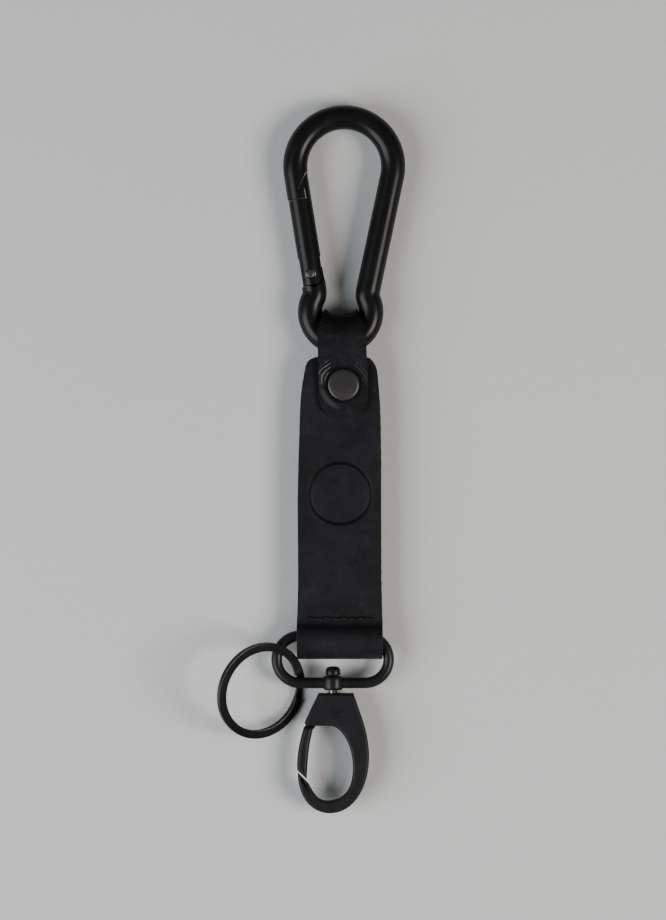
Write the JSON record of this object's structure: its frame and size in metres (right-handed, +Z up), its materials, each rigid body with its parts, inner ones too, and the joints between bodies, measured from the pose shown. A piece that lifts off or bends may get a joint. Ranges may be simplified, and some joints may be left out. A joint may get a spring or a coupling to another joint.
{
  "type": "key organiser",
  "caption": "Leather strap with a gated carabiner on a screw-fastened tab at one end and a rectangular swivel loop with a snap hook and a split ring at the other.",
  "frame": {"origin": "centre of the bounding box in X and Y, on the surface the organiser lies on", "axes": "+Y along the strap towards the carabiner, +Z up through the strap's front face, +X to the side the carabiner's solid leg is on"},
  "size_m": [0.0584, 0.221, 0.0184],
  "materials": {
    "strap_leather": "satin",
    "thread": "waxed",
    "black_metal": "satin",
    "gunmetal": "satin",
    "dark_steel": "satin",
    "hook_black": "matt",
    "spring_steel": "bright"
  },
  "bodies": {
    "strap": {"main_strap": "strap_leather", "stitch_thread": "thread", "binding_post": "gunmetal", "binding_screw": "gunmetal"},
    "tab": {"hanger_tab": "strap_leather"},
    "carabiner": {"carabiner_body": "black_metal"},
    "carabiner_gate": {"carabiner_gate": "black_metal", "carabiner_gate_rivet": "gunmetal", "carabiner_gate_spring": "spring_steel"},
    "plunger": {"carabiner_gate_plunger": "spring_steel"},
    "loop": {"swivel_loop": "dark_steel"},
    "hook": {"swivel_post": "dark_steel", "hook_body": "hook_black", "hook_gate_pin": "dark_steel", "hook_gate_spring": "spring_steel"},
    "hook_gate": {"hook_gate": "hook_black"},
    "ring": {"split_ring": "gunmetal"}
  },
  "joints": [
    {"name": "tab_flex", "type": "hinge", "parent": "strap", "child": "tab", "pos_m": [0.00909, 0.03633, 0.00565], "axis": [1, 0, 0], "range_deg": [-40, 40], "deforming": ["hanger_tab"]},
    {"name": "eye_slide", "type": "hinge", "parent": "tab", "child": "carabiner", "pos_m": [0.00909, 0.04593, 0.00565], "axis": [0, 0, 1], "range_deg": [-25, 25]},
    {"name": "carabiner_gate_pivot", "type": "hinge", "parent": "carabiner", "child": "carabiner_gate", "pos_m": [-0.0003, 0.0578, 0.00565], "axis": [0, 0, -1], "range_deg": [0, 28], "stiffness_Nm_per_rad": 0.05, "springref_deg": -34.38},
    {"name": "plunger_slide", "type": "slide", "parent": "carabiner_gate", "child": "plunger", "axis": [-0.1582, 0.9874, 0], "range_m": [0, 0.0007], "deforming": ["carabiner_gate_spring"]},
    {"name": "loop_swing", "type": "hinge", "parent": "strap", "child": "loop", "pos_m": [0.00659, -0.05622, 0.00565], "axis": [1, 0, 0], "range_deg": [-90, 90]},
    {"name": "hook_swivel", "type": "hinge", "parent": "loop", "child": "hook", "pos_m": [0.00669, -0.07311, 0.00565], "axis": [0, 1, 0], "continuous": true},
    {"name": "hook_gate_pivot", "type": "hinge", "parent": "hook", "child": "hook_gate", "pos_m": [0.00169, -0.08031, 0.00565], "axis": [0, 0, 1], "range_deg": [0, 25], "stiffness_Nm_per_rad": 0.02, "springref_deg": -34.38},
    {"name": "ring_swing", "type": "hinge", "parent": "loop", "child": "ring", "pos_m": [-0.00835, -0.06815, 0.00565], "axis": [0.9397, 0.342, 0], "range_deg": [0, 110]}
  ],
  "couplings": [
    {"joint": "plunger_slide", "follows": "carabiner_gate_pivot", "m_per_rad": 0.00125}
  ]
}
